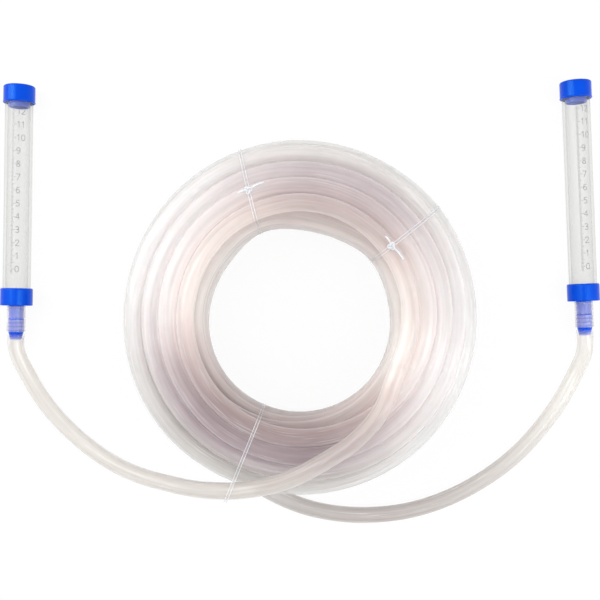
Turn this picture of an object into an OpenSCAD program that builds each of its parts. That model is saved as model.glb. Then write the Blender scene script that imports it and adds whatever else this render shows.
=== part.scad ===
// Water level hose tool: two graduated vials joined by one long clear hose, which lies wound in a coil.
// Millimetres, +Z up. The origin is on the table, midway between the two vials.

/* [Vial] */
// Outside diameter of the clear tube
tube_d = 21; // [17:0.5:26]
// Wall of the clear tube
tube_wall = 2; // [1.2:0.1:2.6]
// Length of the clear tube
tube_l = 162.6; // [130:0.2:200]
// Rounding of the tube's rims
tube_edge = 0.4; // [0.2:0.1:0.5]

/* [Top cap] */
// Height of the cap's skirt and plate
cap_h = 13.2; // [10:0.2:18]
// Thickness of the cap's plate
cap_top = 1.8; // [1.2:0.1:3]
// Wall of the cap's skirt
cap_wall = 1.1; // [0.8:0.1:2]
// Room between the cap and the tube, inside and outside
cap_fit = 0.3; // [0.2:0.05:0.5]
// Rounding of the cap's upper edge
cap_edge = 1.2; // [0.5:0.1:1.5]
// How far the bead stands out at the skirt's lower edge
bead_out = 0.25; // [0.1:0.05:0.5]
// Radius of the bead
bead_r = 0.7; // [0.5:0.1:1]
// Wall of the hollow plug inside the tube
plug_wall = 1.4; // [1:0.1:2]
// Length of the plug that shows below the skirt
plug_show = 3; // [2:0.5:10]
// Chamfer at the plug's lower edge
plug_chamfer = 0.6; // [0.3:0.1:0.9]

/* [Hose adapter] */
// Height of the adapter's cup
adapter_h = 13.4; // [10:0.2:18]
// Thickness of the cup's floor
adapter_floor = 2; // [1.4:0.1:4]
// Rounding of the cup's edges
adapter_edge = 1.2; // [0.4:0.1:1.3]
// Room between the cup and the tube that is fixed in it
seat_fit = 0.1; // [0.05:0.05:0.2]
// Length of the barbed spigot
spigot_l = 26; // [22:0.5:34]
// Diameter of the spigot between its barbs
spigot_d = 11.2; // [10.4:0.1:12]
// Diameter of the water way through the spigot
spigot_bore = 6.4; // [4:0.2:7]
// Number of barbs above the tip
barb_count = 3; // [1:1:4]
// Distance from barb to barb
barb_pitch = 2.9; // [2.4:0.1:3.4]
// How far a barb stands out
barb_out = 0.4; // [0.2:0.05:0.6]
// Length of the tapered tip
tip_l = 7; // [5:0.5:9]
// Diameter of the tip's end
tip_d = 8.4; // [7.6:0.1:9.4]

/* [Seals] */
// Thickness of the flat seals at the tube's rims
seal_t = 1.2; // [0.8:0.1:2]
// How far the lower seal reaches in past the tube's wall
seal_lip = 0.5; // [0.2:0.1:1]

/* [Hose] */
// Outside diameter of the hose
hose_d = 12; // [11:0.5:12]
// Wall of the hose
hose_wall = 1; // [0.8:0.1:1.4]
// Room between the hose and the spigot's barbs
sleeve_fit = 0.1; // [0.05:0.05:0.2]
// Gap between the hose's end and the adapter's cup
sleeve_gap = 0.3; // [0.1:0.1:1]
// Straight length of hose past the spigot's tip
hose_lead = 4; // [3:0.5:10]

/* [Coil] */
// Radius of the coil at the middle of its section
coil_r = 98; // [94:1:104]
// Gap between neighbouring turns
turn_gap = 0.5; // [0.5:0.05:0.8]
// Gap between the wound turns and the inner turns
core_gap = 0.4; // [0.3:0.1:1]

/* [Ties] */
// Width of a tie
tie_w = 2; // [1:0.5:4]
// Thickness of a tie
tie_t = 0.3; // [0.2:0.05:0.5]
// Gap between a tie and the hose
tie_gap = 0.2; // [0.1:0.05:0.4]

/* [Layout] */
// Half of the distance between the vials
reach = 218.4; // [210:0.2:230]
// Place of the left vial's foot along Y
left_foot_y = -73.3; // [-80:0.1:-65]
// Place of the right vial's foot along Y
right_foot_y = -69.8; // [-80:0.1:-65]
// Lean of the left vial on the table, in degrees
left_lean = -0.84; // [-3:0.01:3]
// Lean of the right vial on the table, in degrees
right_lean = 2.22; // [-3:0.01:3]
// Place of the coil's middle along Y
coil_y = -81; // [-84:0.5:-78]

/* [Hidden] */
$fn = 64;

// One overrun serves all cuts
over = 1;

// Vial, measured up its axis from the underside of the adapter's cup
tube_r = tube_d / 2;
tube_bore_r = tube_r - tube_wall;
tube_foot = adapter_floor + seal_t;
tube_head = tube_foot + tube_l;
cap_r = tube_r + cap_fit + cap_wall;
cap_skirt_r = tube_r + cap_fit;
cap_foot = tube_head + seal_t + cap_top - cap_h;
plug_r = tube_bore_r - cap_fit;
adapter_r = cap_r + bead_out;
axis_z = adapter_r;

// Hose where it is stretched over the barbs: its wall thins to this share
stretch_share = 0.85;
hose_r = hose_d / 2;
hose_bore_r = hose_r - hose_wall;
barb_r = spigot_d / 2 + barb_out;
sleeve_r = barb_r + sleeve_fit;
sleeve_out_r = sleeve_r + hose_wall * stretch_share;
sleeve_taper_l = spigot_l - tip_l;
hose_end_l = spigot_l + hose_lead;

// Coil: a grid of columns, counted outwards, and levels, counted up; the middle column is number 2
turn_pitch = hose_d + turn_gap;
middle_column = 2;
coil_lift = tie_gap + tie_t;
rings_per_turn = 24;
ring_step = 360 / rings_per_turn;
coil_start_angle = -127;
// Turns, column and level: in along the floor, up the inner wall, over and down behind it,
// out along the second level, up the outer wall and in across the top
winding_knots = [
    [0, 4, 0], [3, 1, 0], [4, 0, 1], [7.75, 0, 4.75], [8, 0.5, 5], [8.25, 1, 4.75], [11, 1, 2],
    [12, 2, 1], [13, 3, 1], [14, 4, 2], [16, 4, 4], [17, 3, 5], [18, 2, 6], [19.3, 0.544, 6],
    [19.7, 0.096, 6.75], [20, -0.24, 7.1]
];
coil_turns = 19.7;
// Section of a turn: six sides, as wide and as high as the hose
turn_section_shares = [[1, 0], [0.5, 1], [-0.5, 1], [-1, 0], [-0.5, -1], [0.5, -1]];
// Section of a free stretch: eight sides, as wide and as high as the hose
tail_sides = 8;
tail_section_shares = [
    for (i = [0 : tail_sides - 1])
        [cos((i + 0.5) * 360 / tail_sides), sin((i + 0.5) * 360 / tail_sides)] / cos(180 / tail_sides)
];
coil_middle = [0, coil_y, 0];

// Routes of the free stretches, from the coil to the vial: points chosen by hand
left_route = [
    [62, -129, 92.4], [57.5, -140, 94.8], [51, -150.5, 95.9], [42.5, -160, 96.1], [33.5, -168, 95.6],
    [23, -175, 94.7], [11.5, -182, 93.8], [-1.5, -189.5, 90.4], [-16, -196, 84.4], [-32, -201, 76.6],
    [-50, -204.5, 68], [-75, -206.5, 52], [-99, -205, 37], [-122, -201.5, 24], [-144, -194, 14],
    [-165, -181.5, 8], [-184, -165, 6], [-200.5, -145, 6], [-211, -126.5, 8], [-217, -112.5, 11]
];
right_route = [
    [-46, -202.5, 6], [-23, -218, 6], [4, -229.5, 6], [32, -235, 6], [60, -235.5, 6], [88, -231.5, 6],
    [115, -222.5, 6], [140, -209.5, 6], [163.5, -192.5, 6], [184, -171.5, 6], [200.5, -149.5, 6],
    [212, -129, 6.5], [218, -114.5, 9.5], [219.5, -107, 11.5]
];

// Ties sit on rings of the coil, counted on from the start against the winding
upper_tie_ring = 16;
right_tie_ring = 11;
lower_tie_ring = 1;
// The point of the left route that the lower tie holds, and the slant of the hose there
held_point = left_route[10];
slant_share = 1.4;

vial_blue = [0.02, 0.22, 0.92];
clear_tube = [0.86, 0.87, 0.86, 0.55];
clear_hose = [0.88, 0.86, 0.86, 0.75];
seal_white = [0.9, 0.9, 0.88];

function unit(v) = v / norm(v);
function column_r(c) = coil_r + (c - middle_column) * turn_pitch;
function level_z(l) = coil_lift + hose_r + l * turn_pitch;
function knots_of(k) = [for (n = winding_knots) [n[0], n[k]]];
column_knots = knots_of(1);
level_knots = knots_of(2);
function turn_column(t) = lookup(t, column_knots);
function turn_level(t) = lookup(t, level_knots);

// The winding runs clockwise, seen from above
function turn_angle(t) = coil_start_angle - 360 * t;
function out_from(angle) = [cos(angle), sin(angle), 0];
function clockwise_at(angle) = [sin(angle), -cos(angle), 0];
function turn_section(t) = [column_r(turn_column(t)), level_z(turn_level(t))];
function turn_point(t) =
    let (s = turn_section(t)) coil_middle + s[0] * out_from(turn_angle(t)) + [0, 0, s[1]];

// Each end of the winding runs straight for one diameter
coil_start = turn_point(0) - hose_d * clockwise_at(turn_angle(0));
coil_finish = turn_point(coil_turns) + hose_d * clockwise_at(turn_angle(coil_turns));

// A ring is a middle, an outward and an upward direction
function ring_points(ring, shares, r) = [for (s = shares) ring[0] + r * (s[0] * ring[1] + s[1] * ring[2])];
function upright_ring(middle, angle) = [middle, out_from(angle), [0, 0, 1]];
function square_ring(middle, along) =
    let (out = unit(cross([0, 0, 1], along))) [middle, out, unit(cross(along, out))];

// The lean of a side's vial, its foot, and the far end of its hose
function lean(side) = side < 0 ? left_lean : right_lean;
function foot(side) = [side * reach, side < 0 ? left_foot_y : right_foot_y, axis_z];
function vial_up(side) = [-sin(lean(side)), cos(lean(side)), 0];
function hose_far_end(side) = foot(side) - hose_end_l * vial_up(side);

// Solid tube through a list of rings, with triangle faces
module tube_through(rings, shares, r) {
    n = len(shares);
    last = len(rings) - 1;
    points = [for (ring = rings) each ring_points(ring, shares, r)];
    sides = [
        for (k = [0 : last - 1], i = [0 : n - 1])
            let (a = k * n + i, b = k * n + (i + 1) % n)
                each [[a, b + n, b], [a, a + n, b + n]]
    ];
    first_cap = [for (i = [1 : n - 2]) [0, i, i + 1]];
    last_cap = [for (i = [1 : n - 2]) [last * n, last * n + i + 1, last * n + i]];
    polyhedron(points, concat(sides, first_cap, last_cap));
}

// Turns a shape drawn up the Z axis onto a side's vial, which lies on the table
module on_vial(side) {
    translate(foot(side))
        rotate([-90, 0, lean(side)])
            children();
}

// Outline of a drum from its axis, with rounded outer edges
module drum_outline(r, h, low_edge, top_edge) {
    translate([0, low_edge]) square([r, h - low_edge - top_edge]);
    square([r - max(low_edge, top_edge), h]);
    translate([r - low_edge, low_edge]) circle(low_edge);
    translate([r - top_edge, h - top_edge]) circle(top_edge);
    square([r - low_edge, h / 2]);
    translate([0, h / 2]) square([r - top_edge, h / 2]);
}

// Clear tube with rounded rims
module vial_tube(side) {
    color(clear_tube)
        on_vial(side)
            translate([0, 0, tube_foot])
                rotate_extrude()
                    difference() {
                        drum_outline(tube_r, tube_l, tube_edge, tube_edge);
                        translate([0, -over]) square([tube_bore_r, tube_l + 2 * over]);
                    }
}

// Stopper: plate, skirt with a bead, and a hollow plug
module top_cap(side) {
    skirt_l = cap_h - cap_top;
    plug_l = skirt_l + plug_show;
    color(vial_blue)
        on_vial(side)
            translate([0, 0, cap_foot])
                rotate_extrude() {
                    difference() {
                        union() {
                            drum_outline(cap_r, cap_h, bead_r / 2, cap_edge);
                            translate([cap_r + bead_out - bead_r, bead_r]) circle(bead_r);
                        }
                        translate([0, -over]) square([cap_skirt_r, skirt_l + over]);
                    }
                    translate([plug_r - plug_wall, skirt_l - plug_l])
                        polygon([
                            [0, 0], [plug_wall - plug_chamfer, 0], [plug_wall, plug_chamfer],
                            [plug_wall, plug_l], [0, plug_l]
                        ]);
                }
}

// Flat ring between the cap's plate and the tube's upper rim
module cap_seal(side) {
    color(seal_white)
        on_vial(side)
            translate([0, 0, tube_head])
                rotate_extrude()
                    translate([plug_r + seat_fit, 0])
                        square([tube_r - plug_r - seat_fit, seal_t]);
}

// Spigot outline from the cup's underside down: shank, barbs and tapered tip
module spigot_outline() {
    shank_r = spigot_d / 2;
    first_barb = sleeve_taper_l - barb_count * barb_pitch;
    barbs = [
        for (k = [0 : barb_count - 1])
            let (y = -first_barb - k * barb_pitch)
                each [[shank_r, y], [barb_r, y]]
    ];
    polygon(concat(
        [[0, adapter_floor / 2], [shank_r, adapter_floor / 2]],
        barbs,
        [[shank_r, -sleeve_taper_l], [barb_r, -sleeve_taper_l], [tip_d / 2, -spigot_l], [0, -spigot_l]]
    ));
}

// Bottom cap and barbed spigot, one moulding with a water way through it
module hose_adapter(side) {
    color(vial_blue)
        on_vial(side)
            difference() {
                union() {
                    rotate_extrude() drum_outline(adapter_r, adapter_h, adapter_edge / 2, adapter_edge);
                    rotate_extrude() spigot_outline();
                }
                translate([0, 0, adapter_floor]) cylinder(h = adapter_h, r = tube_r + seat_fit);
                translate([0, 0, -spigot_l - over]) cylinder(h = spigot_l + adapter_h, d = spigot_bore);
            }
}

// Flat ring under the tube's lower rim
module adapter_seal(side) {
    color(seal_white)
        on_vial(side)
            translate([0, 0, adapter_floor])
                rotate_extrude()
                    translate([tube_bore_r - seal_lip, 0])
                        square([tube_wall + seal_lip, seal_t]);
}

// End of the hose, stretched over the barbs and drawn in again past the tip
module hose_end(side) {
    color(clear_hose)
        on_vial(side)
            rotate_extrude()
                polygon([
                    [sleeve_r, -sleeve_gap], [sleeve_out_r, -sleeve_gap],
                    [sleeve_out_r, -sleeve_taper_l], [hose_r, -spigot_l], [hose_r, -hose_end_l],
                    [hose_bore_r, -hose_end_l], [hose_bore_r, -spigot_l], [sleeve_r, -sleeve_taper_l]
                ]);
}

// Free stretch of hose from one end of the coil along a route to a side's vial
module hose_tail(side, from, along, route) {
    far = hose_far_end(side);
    points = concat([from], route, [far]);
    last = len(points) - 1;
    rings = [
        for (i = [0 : last])
            square_ring(points[i],
                i == 0 ? along : i == last ? vial_up(side) : unit(points[i + 1] - points[i - 1]))
    ];
    color(clear_hose) tube_through(rings, tail_section_shares, hose_r);
}

module left_hose_tail() {
    hose_tail(-1, coil_finish, clockwise_at(turn_angle(coil_turns)), left_route);
}

module right_hose_tail() {
    hose_tail(1, coil_start, -clockwise_at(turn_angle(0)), right_route);
}

// Outer layer of the coil: one unbroken tube
module hose_coil() {
    ring_count = floor(coil_turns * rings_per_turn);
    turns = concat([for (k = [0 : ring_count]) k / rings_per_turn], [coil_turns]);
    rings = concat(
        [upright_ring(coil_start, turn_angle(0))],
        [for (t = turns) upright_ring(turn_point(t), turn_angle(t))],
        [upright_ring(coil_finish, turn_angle(coil_turns))]
    );
    color(clear_hose) tube_through(rings, turn_section_shares, hose_r);
}

// Plain ring in the place of the turns under the outer layer
module inner_turns() {
    // How far the flat-sided outer turns cut inside their circle, and how far a turn reaches on the slant
    sag = column_r(4) * (1 - cos(ring_step / 2));
    slant = 1.5 * hose_r + sqrt(2) * core_gap;
    inner = column_r(1) + hose_r + core_gap;
    outer = column_r(4) - hose_r - core_gap - sag;
    low = level_z(1) + hose_r + core_gap;
    top = level_z(6) - hose_r - core_gap;
    inner_low = column_r(1) + level_z(2) + slant;
    outer_low = column_r(3) - level_z(1) - slant - sag;
    outer_top = column_r(4) + level_z(4) - slant - sag;
    color(clear_hose)
        translate(coil_middle)
            rotate_extrude()
                polygon([
                    [inner, inner_low - inner], [inner_low - low, low], [outer_low + low, low],
                    [outer, outer - outer_low], [outer, outer_top - outer], [outer_top - top, top],
                    [inner, top]
                ]);
}

// Outline round all the turns that cross one ring of the coil
module bundle(ring) {
    share = 1 - ring / rings_per_turn;
    hull() {
        for (n = [0 : floor(coil_turns - share)])
            translate(turn_section(n + share)) polygon(hose_r * turn_section_shares);
        children();
    }
}

// Thin band round the coil, which also holds what its children add
module tie(ring) {
    color(clear_tube)
        translate(coil_middle)
            rotate([90, 0, coil_start_angle + ring * ring_step])
                linear_extrude(tie_w, center = true)
                    difference() {
                        offset(r = tie_gap + tie_t) bundle(ring) children();
                        offset(r = tie_gap) bundle(ring) children();
                    }
}

module upper_tie() {
    tie(upper_tie_ring);
}

module right_tie() {
    tie(right_tie_ring);
}

module lower_tie() {
    away = held_point - coil_middle;
    tie(lower_tie_ring)
        translate([norm([away[0], away[1]]), away[2]]) circle(hose_r * slant_share);
}

// Least gap of the winding to itself, over the points of turns that pass the same place
turn_points = [for (k = [0 : floor(coil_turns * rings_per_turn)]) turn_section(k / rings_per_turn)];
least_turn_gap = min([
    for (i = [0 : len(turn_points) - 1], j = [i + rings_per_turn : rings_per_turn : len(turn_points) - 1])
        norm(turn_points[i] - turn_points[j])
]) - hose_d;
echo(least_turn_gap = least_turn_gap);

vial_tube(-1);  // left_vial_tube
top_cap(-1);  // left_top_cap
cap_seal(-1);  // left_cap_seal
hose_adapter(-1);  // left_hose_adapter
adapter_seal(-1);  // left_adapter_seal
hose_end(-1);  // left_hose_end
left_hose_tail();
vial_tube(1);  // right_vial_tube
top_cap(1);  // right_top_cap
cap_seal(1);  // right_cap_seal
hose_adapter(1);  // right_hose_adapter
adapter_seal(1);  // right_adapter_seal
hose_end(1);  // right_hose_end
right_hose_tail();
hose_coil();
inner_turns();
upper_tie();
right_tie();
lower_tie();
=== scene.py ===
import math

import bpy
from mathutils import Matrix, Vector


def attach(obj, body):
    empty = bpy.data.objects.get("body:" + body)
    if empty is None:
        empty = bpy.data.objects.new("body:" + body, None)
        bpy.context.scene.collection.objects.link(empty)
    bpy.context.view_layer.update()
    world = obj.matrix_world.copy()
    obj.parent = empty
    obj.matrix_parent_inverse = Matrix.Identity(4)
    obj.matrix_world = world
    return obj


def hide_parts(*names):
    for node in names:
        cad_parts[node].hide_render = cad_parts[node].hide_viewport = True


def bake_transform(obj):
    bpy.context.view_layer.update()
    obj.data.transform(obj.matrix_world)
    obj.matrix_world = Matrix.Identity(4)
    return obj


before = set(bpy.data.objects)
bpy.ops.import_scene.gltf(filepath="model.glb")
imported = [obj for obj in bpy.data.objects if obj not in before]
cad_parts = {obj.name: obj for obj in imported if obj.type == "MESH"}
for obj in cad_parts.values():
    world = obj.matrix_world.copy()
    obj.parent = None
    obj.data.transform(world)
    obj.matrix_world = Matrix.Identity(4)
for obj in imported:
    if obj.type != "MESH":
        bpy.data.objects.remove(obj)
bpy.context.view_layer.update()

# Camera: it looks straight down on the table from a little over 70 cm,
# with a vial at each side of the picture and the coil between them.
eye = bpy.data.objects.new("eye", bpy.data.cameras.new("eye"))
eye.data.sensor_width = 36
eye.data.lens = 55.16
eye.location = (0, -0.069, 0.720)
bpy.context.scene.collection.objects.link(eye)
bpy.context.scene.camera = eye


# Hose: one length of soft clear vinyl, 12 mm outside and 10 mm inside, cut from a reel.
# It is wound by hand, in along the table, up the inner wall, down through the middle,
# up the outer wall and in again across the top. It is drawn a little full, so its turns touch.
hose_r = 0.0063
turn_pitch = 0.0125
coil_radius = 0.098
coil_middle = Vector((0, -0.081, 0))
lowest_turn = 0.0067
start_angle = -127
coil_turns = 28.7
straight_run = 0.012
hose_rounding = 0.12
rounding_steps = 4
rings_per_turn = 72
coil_sides = 16
upright = Vector((0, 0, 1))

# Places in the winding: the turn, the column from the hole outwards and the level from the table up.
winding = (
    (0, 4, 0), (3, 1, 0), (4, 0, 1), (7.75, 0, 4.75), (8, 0.5, 5), (8.25, 1, 4.75),
    (9.75, 2.2, 4.75), (10.25, 2.7, 4), (12.5, 1, 3.9), (13, 1, 3), (15.5, 3, 2.9), (16, 3, 2),
    (18.5, 1, 1.95), (19, 1.1, 1.3), (22, 3, 1), (23, 4, 2), (25, 3.95, 4), (25.4, 3.5, 4.4),
    (26.1, 2.64, 5.1), (26.4, 2.5, 5.4), (27.1, 1.62, 5.95), (27.4, 1.52, 6), (28.1, 0.62, 6),
    (28.3, 0.56, 6), (28.45, 0.46, 6.25), (28.7, 0.096, 6.75),
)
middle_column = 2

# Between the ties a loose turn strays in waves, each with a size, a rate and a start.
sideways_waves = ((0.0006, 7.1, 0), (0.0004, 17.3, 1))
upward_waves = ((0.0006, 5.3, 2), (0.0004, 13.9, 0))
tie_angles = {"upper_tie": 113, "right_tie": 38, "lower_tie": -112}
tie_hold = 16

# The hole isn't round: it is wider to the front and the left, and two ties draw its edge outwards.
# A bump has an angle, a width and a size.
hole_growth, hole_right, hole_back = 0.0016, -0.00135, -0.0038
hole_bumps = ((113, 20, 0.0038), (38, 18, 0.0026), (80, 25, -0.0008))
hole_columns = 2.5
hole_top, hole_fade = 5.6, 0.8


def planned(turn, column):
    """The winding's planned column (1) or level (2) at a turn."""
    for a, b in zip(winding, winding[1:]):
        if turn <= b[0]:
            return a[column] + (b[column] - a[column]) * (turn - a[0]) / (b[0] - a[0])
    return winding[-1][column]


def wound(turn, column):
    """The column or level that the hose takes: it is too stiff for the plan's corners and rounds them."""
    reach = min(hose_rounding, turn, coil_turns - turn)
    total = 0
    for k in range(-rounding_steps, rounding_steps + 1):
        total += planned(turn + reach * k / rounding_steps, column) * (rounding_steps + 1 - abs(k))
    return total / (rounding_steps + 1) ** 2


def near(angle, middle, width):
    """1 at an angle about the coil, falling to 0 a few widths away."""
    away = (angle - middle + 180) % 360 - 180
    return math.exp(-((away / width) ** 2))


def clamped(share):
    """A share kept between 0 and 1."""
    return min(1, max(0, share))


def strayed(waves, turn):
    """How far a loose turn strays."""
    return sum(size * math.sin(rate * turn + start) for size, rate, start in waves)


def hole_shift(angle, column, level):
    """How far the hole's uneven edge moves a turn outwards: most at the edge, and not at the top."""
    right, back = math.cos(math.radians(angle)), math.sin(math.radians(angle))
    shift = hole_growth + hole_right * right + hole_back * back
    shift += sum(size * near(angle, middle, width) for middle, width, size in hole_bumps)
    return shift * clamped((hole_columns - column) / hole_columns) * clamped((hole_top - level) / hole_fade)


def turn_section(turn):
    """Distance from the coil's axis and height of the hose at a turn, with the slackness of hand winding."""
    angle = start_angle - 360 * turn
    column, level = wound(turn, 1), wound(turn, 2)
    slack = 1 - max(near(angle, tie, tie_hold) for tie in tie_angles.values())
    out = coil_radius + (column - middle_column) * turn_pitch
    out += slack * strayed(sideways_waves, turn) + hole_shift(angle, column, level)
    high = lowest_turn + level * turn_pitch
    high += slack * min(1, level) * strayed(upward_waves, turn)
    return out, high


def turn_point(turn):
    """The middle of the hose at a turn."""
    angle = math.radians(start_angle - 360 * turn)
    out, high = turn_section(turn)
    return coil_middle + Vector((out * math.cos(angle), out * math.sin(angle), high))


def clockwise(turn):
    """The level direction in which the hose runs at a turn."""
    angle = math.radians(start_angle - 360 * turn)
    return Vector((math.sin(angle), -math.cos(angle), 0))


def finish_mesh(name, points, faces):
    """A smooth mesh object in the row's frame."""
    mesh = bpy.data.meshes.new(name)
    mesh.from_pydata([tuple(p) for p in points], [], faces)
    mesh.polygons.foreach_set("use_smooth", [True] * len(mesh.polygons))
    mesh.update()
    piece = bpy.data.objects.new(name, mesh)
    bpy.context.scene.collection.objects.link(piece)
    return piece


def joined(first, rings, sides, closed=False):
    """Faces between rings of points that are numbered from first on. A closed row ends where it began."""
    faces = []
    for i in range(rings if closed else rings - 1):
        here, there = first + i * sides, first + (i + 1) % rings * sides
        for k in range(sides):
            after = (k + 1) % sides
            faces.append((here + k, here + after, there + after, there + k))
    return faces


def tube(name, line, radii, sides, run=0):
    """A round tube along a line of points, with a radius at each, open at both ends. Its attribute
    "drawn" holds the place round the tube and the distance along the hose, which starts at run."""
    points, drawn = [], []
    for i, middle in enumerate(line):
        ahead, behind = line[min(i + 1, len(line) - 1)], line[max(i - 1, 0)]
        along = (ahead - behind).normalized()
        out = upright.cross(along).normalized()
        over = along.cross(out)
        run += (middle - behind).length
        for k in range(sides):
            a = 2 * math.pi * k / sides
            points.append(middle + radii[i] * (math.cos(a) * out + math.sin(a) * over))
            drawn += [math.cos(a), math.sin(a), run]
    piece = finish_mesh(name, points, joined(0, len(line), sides))
    piece.data.attributes.new("drawn", "FLOAT_VECTOR", "POINT").data.foreach_set("vector", drawn)
    return piece


coil_line = [turn_point(k / rings_per_turn) for k in range(round(coil_turns * rings_per_turn) + 1)]
lead_in, lead_out = straight_run * clockwise(0), straight_run * clockwise(coil_turns)
coil_start, coil_finish = coil_line[0] - lead_in, coil_line[-1] + lead_out
coil_line = [coil_start, coil_line[0] - lead_in / 2] + coil_line
coil_line += [coil_line[-1] + lead_out / 2, coil_finish]
coil = tube("coil", coil_line, [hose_r] * len(coil_line), coil_sides)
coil_length = sum((b - a).length for a, b in zip(coil_line, coil_line[1:]))


class Flow:
    """A node's output that takes part in sums: each operator adds the Math node that it names."""

    def __init__(self, socket):
        self.socket = socket

    @classmethod
    def node(cls, tree, kind, settings=(), sockets=(), output=0):
        """A new node: its settings first, then the values or links of its sockets."""
        made = tree.nodes.new(kind)
        for name, value in dict(settings).items():
            if name == "stops":
                while len(made.color_ramp.elements) < len(value):
                    made.color_ramp.elements.new(0.5)
                for element, (place, colour) in zip(made.color_ramp.elements, value):
                    element.position = place
                    element.color = (*colour, 1)
            else:
                setattr(made, name, value)
        for name, value in dict(sockets).items():
            if isinstance(value, Flow):
                tree.links.new(value.socket, made.inputs[name])
            else:
                made.inputs[name].default_value = value
        return cls(made.outputs[output]) if made.outputs else None

    def math(self, operation, first, second):
        """A Math node in this output's tree."""
        tree = self.socket.id_data
        return Flow.node(tree, "ShaderNodeMath", {"operation": operation}, {0: first, 1: second})

    def __add__(self, other):
        return self.math("ADD", self, other)

    def __sub__(self, other):
        return self.math("SUBTRACT", self, other)

    def __rsub__(self, other):
        return self.math("SUBTRACT", other, self)

    def __mul__(self, other):
        return self.math("MULTIPLY", self, other)

    def __truediv__(self, other):
        return self.math("DIVIDE", self, other)

    def __pow__(self, other):
        return self.math("POWER", self, other)

    __radd__ = __add__
    __rmul__ = __mul__


def new_finish(name):
    """An empty material and its tree."""
    finish = bpy.data.materials.new(name)
    finish.use_nodes = True
    finish.node_tree.nodes.clear()
    return finish, finish.node_tree


def on_piece(tree):
    """The place on a piece, in its own frame."""
    return Flow.node(tree, "ShaderNodeTexCoord", output="Object")


def noise(tree, where, scale, detail):
    """A cloudy value about one half, finer at a larger scale."""
    return Flow.node(tree, "ShaderNodeTexNoise", (), {"Vector": where, "Scale": scale, "Detail": detail})


def stretched(tree, where, factors):
    """A place multiplied along each axis."""
    return Flow.node(tree, "ShaderNodeVectorMath", {"operation": "MULTIPLY"}, {0: where, 1: factors})


def carried(tree, label, output="Fac"):
    """A value that the mesh carries at its points."""
    return Flow.node(tree, "ShaderNodeAttribute", {"attribute_name": label}, (), output)


def blended(tree, share, first, second):
    """A colour between two."""
    first, second = ((*c, 1) if isinstance(c, tuple) else c for c in (first, second))
    return Flow.node(tree, "ShaderNodeMix", {"data_type": "RGBA"}, {0: share, 6: first, 7: second}, 2)


def ramp(tree, share, stops):
    """A colour that changes with a share, by stops of a place and a colour."""
    return Flow.node(tree, "ShaderNodeValToRGB", {"stops": stops}, {"Fac": share})


def grained(tree, where, scale, strength):
    """A normal with a fine grain."""
    height = noise(tree, where, scale, 2)
    return Flow.node(tree, "ShaderNodeBump", (), {"Strength": strength, "Distance": 0.0003, "Height": height})


def surface(tree, sockets):
    """The shader of a finish, joined to its tree's output."""
    shader = Flow.node(tree, "ShaderNodeBsdfPrincipled", (), sockets)
    Flow.node(tree, "ShaderNodeOutputMaterial", (), {"Surface": shader})


# Clear vinyl, milky and faintly lilac in the mass. Its colour is painted lit and shaded: the stacked turns
# lilac, painted paler on the stretches that lie across the lamps, and the single ones between a dim and a lit
# cream. It was drawn through a die, which leaves streaks along it.
# The colours of the stacked turns go from the hole's edge to the coil's rim. The darker band a little out
# from the hole is partly the hose stacked below and partly painted shade, and the darker last stop is a
# painted dark edge at the rim.
hole_r, band_w = 0.064, 0.072
shaded_lilac_stops = (
    (0.0, (0.82, 0.74, 0.71)), (0.12, (0.66, 0.565, 0.54)), (0.24, (0.46, 0.355, 0.35)),
    (0.45, (0.49, 0.40, 0.425)), (0.62, (0.54, 0.46, 0.485)), (0.74, (0.62, 0.585, 0.555)),
    (0.9, (0.58, 0.57, 0.545)),
)
lit_pale_stops = (
    (0.0, (1.0, 0.92, 0.88)), (0.22, (0.93, 0.815, 0.775)), (0.5, (0.97, 0.89, 0.885)),
    (0.78, (0.91, 0.885, 0.88)), (0.92, (0.68, 0.685, 0.67)),
)
dim_cream, lit_cream = (0.275, 0.195, 0.162), (0.745, 0.72, 0.675)
die_line_and_highlight_white = (0.96, 0.94, 0.94)

# Painted light: how much paler a stacked turn is painted by its place about the coil, where it would catch
# the side lamps: twice in each round, and once more from a side.
twice_straight, twice_slanted = 0.425, 0.62
once_right, once_back = 0.12, 0.3

hose_vinyl, tree = new_finish("hose_vinyl")
place = on_piece(tree)
x, y = (Flow.node(tree, "ShaderNodeSeparateXYZ", (), {"Vector": place}, axis) for axis in ("X", "Y"))
y = y - coil_middle.y
square = x * x + y * y
outwards = (square ** 0.5 - hole_r) * (1 / band_w)
shaded_lilac = ramp(tree, outwards, shaded_lilac_stops)
lit_pale = ramp(tree, outwards, lit_pale_stops)
# Painted light: the share of lit pale in a stacked turn, by its angle about the coil.
across = ((x * x - y * y) * twice_straight - x * y * twice_slanted) / square
across = across + (x * once_right + y * once_back) / square ** 0.5
cloud = noise(tree, place, 22, 3)
drawn = carried(tree, "drawn", "Vector")
streak = noise(tree, stretched(tree, drawn, (1, 1, 4)), 1.7, 1.5)
# Thin white threads along the hose: partly die lines and partly painted highlights along the turns.
thread = noise(tree, stretched(tree, drawn, (1, 1, 5)), 5, 2)
shine = Flow.node(
    tree,
    "ShaderNodeMapRange",
    {"interpolation_type": "SMOOTHSTEP"},
    {0: thread, 1: 0.56, 2: 0.74, 3: 0, 4: 1},
)
free, light, grip = (carried(tree, label) for label in ("free", "light", "grip"))
# The stacked turns are painted from shaded lilac to lit pale by that share, with a random cloud and die
# streaks.
stacked = blended(tree, across + 0.6 + (cloud - 0.5) * 0.7 + (streak - 0.5) * 0.35, shaded_lilac, lit_pale)
# The single hose is painted from a dim to a lit cream by its painted light along the tail.
single = blended(tree, light + (streak - 0.5) * 0.7, dim_cream, lit_cream)
plain = blended(tree, free, stacked, single)
facing = Flow.node(tree, "ShaderNodeLayerWeight", (), {"Blend": 0.45}, "Facing")
light_through = Flow.node(tree, "ShaderNodeLightPath", output="Is Shadow Ray") * 0.6
milkiness = facing * 0.32 + 0.29 + free * (0.32 - light * 0.1) + (streak - 0.5) * 0.22
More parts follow.
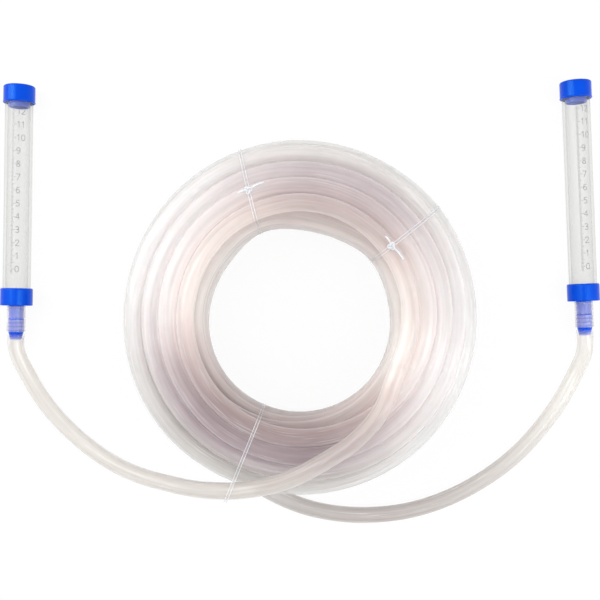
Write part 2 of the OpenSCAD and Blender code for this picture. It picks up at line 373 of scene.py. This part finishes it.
surface(
    tree,
    {
        "Base Color": blended(tree, shine * (0.55 - free * 0.25), plain, die_line_and_highlight_white),
        "Roughness": cloud * 0.12 + 0.14,
        "IOR": 1.5,
        "Subsurface Weight": 0.7,
        "Subsurface Radius": (1, 0.85, 0.85),
        "Subsurface Scale": 0.008,
        "Sheen Weight": 0.5,
        "Sheen Roughness": 0.5,
        "Coat Weight": 0.6,
        "Coat Roughness": 0.05,
        "Alpha": milkiness * (1 - grip * 1.2) * (1 - light_through),
        "Normal": grained(tree, place, 800, 0.015),
    },
)
coil.data.materials.append(hose_vinyl)
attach(coil, "coil")
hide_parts("hose_coil", "inner_turns")


# Hose tails: the two free ends of the same hose, which curve over the table to the vials.
# Each is pushed over a barbed spigot, where it is stretched and shows the spigot through its wall.
vials = {
    "left": {"foot": Vector((-0.2184, -0.0733, 0.01215)), "lean": math.radians(-0.84)},
    "right": {"foot": Vector((0.2184, -0.0698, 0.01215)), "lean": math.radians(2.22)},
}
for vial in vials.values():
    vial["up"] = Vector((-math.sin(vial["lean"]), math.cos(vial["lean"]), 0))
routes = {
    "left": (
        (0.062, -0.129, 0.0924), (0.0575, -0.14, 0.0948), (0.051, -0.1505, 0.0959), (0.0425, -0.16, 0.0961),
        (0.0335, -0.168, 0.0956), (0.023, -0.175, 0.0947), (0.0115, -0.182, 0.0938),
        (-0.0015, -0.1895, 0.0904), (-0.016, -0.196, 0.0844), (-0.032, -0.201, 0.0766),
        (-0.05, -0.2045, 0.068), (-0.075, -0.2065, 0.052), (-0.099, -0.205, 0.037), (-0.122, -0.2015, 0.024),
        (-0.144, -0.194, 0.014), (-0.165, -0.1815, 0.008), (-0.184, -0.165, 0.006), (-0.2005, -0.145, 0.006),
        (-0.211, -0.1265, 0.008), (-0.217, -0.1125, 0.011),
    ),
    "right": (
        (-0.046, -0.2025, 0.006), (-0.023, -0.218, 0.006), (0.004, -0.2295, 0.006), (0.032, -0.235, 0.006),
        (0.06, -0.2355, 0.006), (0.088, -0.2315, 0.006), (0.115, -0.2225, 0.006), (0.14, -0.2095, 0.006),
        (0.1635, -0.1925, 0.006), (0.184, -0.1715, 0.006), (0.2005, -0.1495, 0.006), (0.212, -0.129, 0.0065),
        (0.218, -0.1145, 0.0095), (0.2195, -0.107, 0.0115),
    ),
}
spigot_leads = (0.030, 0.022)
least_height = 0.0062
tail_r, tail_taper = 0.0061, 0.00001
tail_sides = 20
curve_steps = 6

# Over the spigot: the distance below the vial's foot, the hose's radius and how clear its wall is.
sleeve = (
    (0.0285, 0.0062, 0), (0.027, 0.00622, 0.05), (0.0258, 0.0063, 0.28), (0.0245, 0.00645, 0.45),
    (0.0228, 0.00665, 0.65), (0.0212, 0.0068, 0.85), (0.0204, 0.00688, 0.8), (0.0196, 0.00696, 0.3),
    (0.019, 0.00704, 0.52), (0.0184, 0.00696, 0.32), (0.0174, 0.0069, 0.26), (0.0167, 0.00694, 0.28),
    (0.0161, 0.00702, 0.5), (0.0155, 0.00694, 0.32), (0.0145, 0.0069, 0.28), (0.0138, 0.00694, 0.3),
    (0.0132, 0.00702, 0.52), (0.0126, 0.00694, 0.34), (0.0116, 0.0069, 0.3), (0.0109, 0.00694, 0.3),
    (0.0103, 0.00702, 0.8), (0.0097, 0.00694, 0.42), (0.008, 0.0069, 0.36), (0.005, 0.00688, 0.38),
    (0.002, 0.0069, 0.36), (0.0009, 0.00695, 0.2), (0.0005, 0.0069, 0.1), (0.0003, 0.0064, 0.1),
)

# A tail's look leaves that of the stacked turns quickly at first and then slowly, counted in rings.
# Its painted light starts at one value by the coil and rises by another to the vial, and paints it from a dim
# to a lit cream.
quick_rings, slow_rings, slow_start = 30, 110, 0.4
tail_light = {"left": (0.42, 0.58), "right": (-0.87, 3.45)}
most_light = 1.05


def smooth_line(points, steps):
    """A curve through points, with some steps between each two."""
    line = []
    for i in range(len(points) - 1):
        a, b = points[i], points[i + 1]
        before = points[i - 1] if i else a + a - b
        after = points[i + 2] if i + 2 < len(points) else b + b - a
        for k in range(steps):
            t = k / steps
            line.append(
                (a * 2 + (b - before) * t + (before * 2 - a * 5 + b * 4 - after) * t * t
                 + (a * 3 - before - b * 3 + after) * t ** 3) / 2
            )
    return line + [points[-1]]


def mark(piece, label, values):
    """Gives each point of a piece a value that its finish reads."""
    piece.data.attributes.new(label, "FLOAT", "POINT").data.foreach_set("value", values)


for side, vial in vials.items():
    meets = coil_finish if side == "left" else coil_start
    last = coil_line[-2] if side == "left" else coil_line[1]
    corners = [last, meets] + [Vector(p) for p in routes[side]]
    corners += [vial["foot"] - lead * vial["up"] for lead in spigot_leads]
    line = smooth_line(corners, curve_steps)[curve_steps:-curve_steps]
    for p in line:
        p.z = max(p.z, least_height)
    radii = [max(tail_r, hose_r - tail_taper * k) for k in range(len(line))]
    grips = [0.0] * len(line)
    for back, radius, clear in sleeve:
        line.append(vial["foot"] - back * vial["up"])
        radii.append(radius)
        grips.append(clear)
    tail = tube(f"{side}_tail", line, radii, tail_sides, coil_length if side == "left" else 0)
    rings = len(line)
    freed = [min(1, k / quick_rings, slow_start + k / slow_rings) for k in range(rings)]
    dim, rise = tail_light[side]
    lights = [min(most_light, max(0, dim + rise * k / rings)) for k in range(rings)]
    for label, values in (("free", freed), ("grip", grips), ("light", lights)):
        mark(tail, label, [v for v in values for k in range(tail_sides)])
    tail.data.materials.append(hose_vinyl)
    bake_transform(tail)
    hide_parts(f"{side}_hose_tail", f"{side}_hose_end")


# Floor and light: a white table under large soft lamps, so the shadows are faint.
# The table keeps a share of the shadow and is otherwise plain white to the eye.
floor_half, floor_drop = 3, 0.0002
floor_glow = 0.93
lamp_aim = Vector((0, -0.07, 0))


def bright_rays(tree):
    """1 for rays that the eye sees straight, in a reflection or through clear plastic."""
    seen = Flow.node(tree, "ShaderNodeLightPath", output="Is Camera Ray")
    for ray in ("Is Glossy Ray", "Is Transmission Ray"):
        seen = seen.math("MAXIMUM", seen, Flow.node(tree, "ShaderNodeLightPath", output=ray))
    return seen


corners = [(-floor_half, -floor_half, 0), (floor_half, -floor_half, 0)]
corners += [(floor_half, floor_half, 0), (-floor_half, floor_half, 0)]
floor = finish_mesh("table", corners, [(0, 1, 2, 3)])
floor.location.z = -floor_drop
table_white, tree = new_finish("table_white")
matt = Flow.node(tree, "ShaderNodeBsdfDiffuse", (), {"Color": (0.9, 0.9, 0.9, 1)})
glow = Flow.node(tree, "ShaderNodeEmission", (), {"Color": (1, 1, 1, 1), "Strength": 1})
mixed = Flow.node(tree, "ShaderNodeMixShader", (), {0: bright_rays(tree) * floor_glow, 1: matt, 2: glow})
Flow.node(tree, "ShaderNodeOutputMaterial", (), {"Surface": mixed})
floor.data.materials.append(table_white)

for name, place, size, power in (
    ("lamp_left", (-0.95, 0.25, 0.95), (0.5, 1.3), 7.4),
    ("lamp_right", (0.95, -0.3, 0.95), (0.4, 1.3), 5.7),
    ("strip_left", (-0.5, 0.14, 0.9), (0.03, 0.8), 1.5),
    ("strip_right", (0.5, -0.2, 0.9), (0.03, 0.8), 1.2),
):
    lamp = bpy.data.objects.new(name, bpy.data.lights.new(name, "AREA"))
    lamp.data.shape = "RECTANGLE"
    lamp.data.size, lamp.data.size_y = size
    lamp.data.energy = power
    lamp.location = place
    lamp.rotation_euler = (lamp_aim - Vector(place)).to_track_quat("-Z", "Y").to_euler()
    bpy.context.scene.collection.objects.link(lamp)

room = bpy.data.worlds.new("room")
bpy.context.scene.world = room
room.use_nodes = True
tree = room.node_tree
tree.nodes.clear()
sky = Flow.node(tree, "ShaderNodeBackground", (), {"Color": (1, 1, 1, 1), "Strength": 0.74})
white = Flow.node(tree, "ShaderNodeBackground", (), {"Color": (1, 1, 1, 1), "Strength": 1})
seen = Flow.node(tree, "ShaderNodeMixShader", (), {0: bright_rays(tree), 1: sky, 2: white})
Flow.node(tree, "ShaderNodeOutputWorld", (), {"Surface": seen})
bpy.context.scene.view_settings.view_transform = "Standard"


# Caps and adapters: moulded in blue plastic, with a fine matt skin and a little flow mottling.
# The stopper is pushed into the tube; the adapter is one moulding with its barbed spigot.
def dress(finish, *nodes):
    """Gives these CAD nodes of both vials a finish."""
    for side in vials:
        for node in nodes:
            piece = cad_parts[f"{side}_{node}"]
            piece.data.materials.clear()
            piece.data.materials.append(finish)


blue_plastic, tree = new_finish("blue_plastic")
place = on_piece(tree)
swirl = noise(tree, place, 70, 4)
surface(
    tree,
    {
        "Base Color": blended(tree, swirl, (0.0, 0.036, 0.50), (0.0, 0.07, 0.69)),
        "Roughness": swirl * 0.12 + 0.14,
        "IOR": 1.5,
        "Specular IOR Level": 0.35,
        "Specular Tint": (0.2, 0.78, 1.0, 1.0),
        "Normal": grained(tree, place, 2200, 0.08),
    },
)
dress(blue_plastic, "top_cap", "hose_adapter")


# Seals: flat rings of white rubber between the tube's rims and the mouldings.
# They are cut from sheet and lie loose in the caps.
seal_rubber, tree = new_finish("seal_rubber")
dust = noise(tree, on_piece(tree), 700, 3)
chalk = blended(tree, dust, (0.72, 0.72, 0.69), (0.85, 0.85, 0.82))
surface(tree, {"Base Color": chalk, "Roughness": dust * 0.2 + 0.5})
dress(seal_rubber, "cap_seal", "adapter_seal")


# Vial tubes: moulded in clear plastic, with a faint haze and fine lines along them.
# Seen edge on the wall is long and looks grey.
clear_tube, tree = new_finish("clear_tube")
lines = noise(tree, stretched(tree, on_piece(tree), (110, 5, 110)), 1, 2)
edge = Flow.node(tree, "ShaderNodeLayerWeight", (), {"Blend": 0.5}, "Facing")
surface(
    tree,
    {
        "Base Color": blended(tree, lines, (0.47, 0.48, 0.45), (0.55, 0.56, 0.525)),
        "Roughness": lines * 0.1 + 0.06,
        "IOR": 1.45,
        "Alpha": edge ** 2 * 0.4 + 0.1 + lines * 0.06,
    },
)
dress(clear_tube, "vial_tube")


# Scales: centimetre numbers and millimetre ticks, moulded as fine relief on each tube's upper side and
# coloured grey as painted shade of the relief.
# The tubes were turned a little differently when they were laid down.
# A digit's strokes go through points in a box that is 1 wide and 1.6 high.
strokes = {
    "0": ((0.5, 1.6), (0.2, 1.45), (0.05, 1.1), (0.05, 0.5), (0.2, 0.15), (0.5, 0), (0.8, 0.15),
          (0.95, 0.5), (0.95, 1.1), (0.8, 1.45), (0.5, 1.6)),
    "1": ((0.2, 1.25), (0.55, 1.6), (0.55, 0)),
    "2": ((0.05, 1.2), (0.2, 1.5), (0.5, 1.6), (0.8, 1.5), (0.93, 1.2), (0.8, 0.85), (0.05, 0), (1, 0)),
    "3": ((0.05, 1.45), (0.4, 1.6), (0.78, 1.5), (0.9, 1.2), (0.75, 0.92), (0.4, 0.84), (0.8, 0.75),
          (0.96, 0.42), (0.8, 0.1), (0.4, 0), (0.03, 0.15)),
    "4": ((0.72, 0), (0.72, 1.6), (0, 0.5), (1, 0.5)),
    "5": ((0.9, 1.6), (0.2, 1.6), (0.12, 0.9), (0.5, 1.0), (0.85, 0.85), (0.95, 0.5), (0.8, 0.12),
          (0.4, 0), (0.05, 0.12)),
    "6": ((0.85, 1.5), (0.5, 1.6), (0.2, 1.3), (0.05, 0.7), (0.12, 0.25), (0.45, 0), (0.85, 0.15),
          (0.95, 0.5), (0.8, 0.85), (0.45, 0.95), (0.1, 0.65)),
    "7": ((0, 1.6), (1, 1.6), (0.35, 0)),
    "8": ((0.5, 0.86), (0.15, 1.1), (0.2, 1.45), (0.5, 1.6), (0.8, 1.45), (0.85, 1.1), (0.5, 0.86),
          (0.08, 0.58), (0.1, 0.18), (0.5, 0), (0.9, 0.18), (0.92, 0.58), (0.5, 0.86)),
    "9": ((0.15, 0.1), (0.5, 0), (0.8, 0.3), (0.95, 0.9), (0.88, 1.35), (0.55, 1.6), (0.15, 1.45),
          (0.05, 1.1), (0.2, 0.75), (0.55, 0.65), (0.9, 0.95)),
}
stroke_box_h = 1.6
digit_w, digit_h, digit_step, digits_left = 0.0028, 0.0045, 0.0034, 0.0022
tick_w, line_w = 0.0004, 0.0005
tick_reaches = ((10, 0.0028), (5, 0.0019), (1, 0.0013))
ticks_left = -0.0011
first_mm, last_mm, last_cm = -3, 121, 12
relief, seat = 0.00012, 0.00003
tube_r = 0.0105
scales = {"left": {"zero": 0.0278, "turn": -0.0006}, "right": {"zero": 0.0265, "turn": -0.0024}}
scale_relief, tree = new_finish("scale_relief")
relief_mottle = noise(tree, on_piece(tree), 500, 2)
# Painted shade: the clear relief is coloured an uneven grey for its shading.
grey = blended(tree, relief_mottle, (0.12, 0.12, 0.12), (0.28, 0.28, 0.27))
surface(tree, {"Base Color": grey, "Roughness": relief_mottle * 0.2 + 0.3, "Alpha": relief_mottle * 0.4 + 0.45})


def on_tube(vial, beside, along, proud):
    """A point on a vial's tube: so far round it from its upper line, along it and proud of it."""
    reach, turn = tube_r + seat + proud, beside / tube_r
    right = Vector((vial["up"].y, -vial["up"].x, 0))
    level = vial["foot"] + vial["up"] * along + right * reach * math.sin(turn)
    return level + upright * reach * math.cos(turn)


for side, vial in vials.items():
    zero, turned = scales[side]["zero"], scales[side]["turn"]
    ridges = []
    for mm in range(first_mm, last_mm + 1):
        reach = next(reach for every, reach in tick_reaches if mm % every == 0)
        left, high = turned + ticks_left, zero + mm / 1000
        ridges.append((tick_w, [(left, high), (left + reach, high)]))
    for cm in range(last_cm + 1):
        for k, digit in enumerate(str(cm)):
            left, low = turned + digits_left + k * digit_step, zero + cm / 100 - digit_h / 2
            shape = [(left + dx * digit_w, low + dy * digit_h / stroke_box_h) for dx, dy in strokes[digit]]
            ridges.append((line_w, shape))
    points, faces = [], []
    for thick, shape in ridges:
        for (x0, s0), (x1, s1) in zip(shape, shape[1:]):
            run = Vector((x1 - x0, s1 - s0)).normalized()
            wide = Vector((-run.y, run.x)) * thick / 2
            first = len(points)
            for end in (Vector((x0, s0)) - run * thick / 3, Vector((x1, s1)) + run * thick / 3):
                for spot, proud in ((end + wide, 0), (end, relief), (end - wide, 0)):
                    points.append(on_tube(vial, spot.x, spot.y, proud))
            faces += [(first, first + 1, first + 4, first + 3), (first + 1, first + 2, first + 5, first + 4)]
    scale = finish_mesh(f"{side}_scale", points, faces)
    scale.data.materials.append(scale_relief)
    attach(scale, f"{side}_vial")


# Ties: thin clear straps with a bead along each edge, drawn tight round all the turns.
# The upper two are knotted on top, and the lower one also holds the left tail.
tie_film, tree = new_finish("tie_film")
fibre = noise(tree, on_piece(tree), 900, 2)
surface(
    tree,
    {
        "Base Color": blended(tree, fibre, (0.70, 0.73, 0.78), (0.95, 0.96, 0.98)),
        "Roughness": fibre * 0.2 + 0.12,
        "Coat Weight": 0.4,
        "Alpha": carried(tree, "bead") * (fibre * 0.3 + 0.5) + 0.08,
    },
)
strap_gap = 0.0003
strap_lowest = 0.0001
held_share = 1.3
slant_middle = 0.085
rim_points = 32

# Across a strap: the distance from its middle, the height on the hose and whether it is bead or film.
strap_section = (
    (-0.0011, 0, 1), (-0.0011, 0.0003, 1), (-0.00095, 0.0004, 1), (-0.0008, 0.0003, 1),
    (-0.00075, 0.00015, 0), (0.00075, 0.00015, 0), (0.0008, 0.0003, 1), (0.00095, 0.0004, 1),
    (0.0011, 0.0003, 1), (0.0011, 0, 1), (0.00075, 0, 0), (-0.00075, 0, 0),
)
knot_rings, knot_sides = 48, 8
knot_r, knot_cord, knot_flatness = 0.00085, 0.00062, 0.6
knot_lift, knot_room = 0.0011, 0.009
loose_ends = ((-1, 0.012), (1, 0.008))
loose_steps = 8
loose_w, loose_t, loose_lift, loose_taper = 0.0008, 0.0003, 0.0012, 0.4
curl, curl_rate = 0.0012, 2.6


def turns_left(a, b, c):
    """Whether the way from a over b to c turns left."""
    return (b[0] - a[0]) * (c[1] - a[1]) > (b[1] - a[1]) * (c[0] - a[0])


def wrap(circles):
    """The tight closed line round some circles of one plane, each a middle and a radius."""
    spots = sorted(
        (c[0] + r * math.cos(a), c[1] + r * math.sin(a))
        for c, r in circles
        for a in (2 * math.pi * k / rim_points for k in range(rim_points))
    )
    line = []
    for order in (spots, spots[::-1]):
        run = []
        for p in order:
            while len(run) > 1 and not turns_left(run[-2], run[-1], p):
                run.pop()
            run.append(p)
        line += run[:-1]
    return line


def knot_ring(i):
    """Points round the cord of an overhand knot, in its own axes: out from the coil, along it and up."""
    t = 2 * math.pi * i / knot_rings
    middle = Vector(
        (
            math.sin(t) + 2 * math.sin(2 * t),
            math.cos(t) - 2 * math.cos(2 * t),
            -knot_flatness * math.sin(3 * t),
        )
    )
    ahead = Vector(
        (
            math.cos(t) + 4 * math.cos(2 * t),
            -math.sin(t) + 4 * math.sin(2 * t),
            -3 * knot_flatness * math.cos(3 * t),
        )
    ).normalized()
    beside = ahead.cross(upright).normalized()
    over = beside.cross(ahead)
    middle = knot_r * middle + knot_lift * upright
    turns = [2 * math.pi * k / knot_sides for k in range(knot_sides)]
    return [middle + knot_cord * (math.cos(a) * beside + math.sin(a) * over) for a in turns]


def loose_ring(way, reach, s):
    """The four corners of a loose end at a share of its length, in the knot's axes."""
    middle = Vector((curl * math.sin(curl_rate * s), way * reach * s, loose_lift * s * s))
    half = loose_w * (1 - loose_taper * s)
    corners = ((-half, 1), (-half, 2), (half, 2), (half, 1))
    return [middle + Vector((wide, 0, loose_t * high)) for wide, high in corners]


for name, slant, held, knot_at in (
    ("upper_tie", 0.16, None, 0.0945),
    ("right_tie", 0, None, 0.079),
    ("lower_tie", 0, (0.1333, 0.068), None),
):
    angle = tie_angles[name]
    share = ((start_angle - angle) / 360) % 1
    circles = [(turn_section(n + share), hose_r + strap_gap) for n in range(int(coil_turns - share) + 1)]
    if held:
        circles.append((held, hose_r * held_share))
    loop = wrap(circles)
    out = Vector((math.cos(math.radians(angle)), math.sin(math.radians(angle)), 0))
    across = Vector((-out.y, out.x, 0))
    points, beads = [], []
    for i, (r, h) in enumerate(loop):
        ahead, behind = loop[(i + 1) % len(loop)], loop[i - 1]
        normal = Vector((ahead[1] - behind[1], behind[0] - ahead[0])).normalized()
        for sideways, proud, bead in strap_section:
            reach, high = r + normal.x * proud, max(strap_lowest, h + normal.y * proud)
            beside = sideways - slant * (r - slant_middle)
            points.append(coil_middle + out * reach + across * beside + upright * high)
            beads.append(bead)
    faces = joined(0, len(loop), len(strap_section), True)
    if knot_at:
        top = max(h for r, h in loop if abs(r - knot_at) < knot_room)
        base = coil_middle + out * knot_at - across * slant * (knot_at - slant_middle) + upright * top
        runs = [[knot_ring(i) for i in range(knot_rings)]]
        for way, length in loose_ends:
            runs.append([loose_ring(way, length, i / loose_steps) for i in range(loose_steps + 1)])
        for run in runs:
            first, sides, closed = len(points), len(run[0]), run is runs[0]
            points += [base + out * p.x + across * p.y + upright * p.z for ring in run for p in ring]
            faces += joined(first, len(run), sides, closed)
            if not closed:
                faces += [tuple(range(first, first + sides)), tuple(range(len(points) - sides, len(points)))]
        beads += [1] * (len(points) - len(beads))
    tie = finish_mesh(name.replace("tie", "strap"), points, faces)
    mark(tie, "bead", beads)
    tie.data.materials.append(tie_film)
    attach(tie, "coil")
    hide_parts(name)
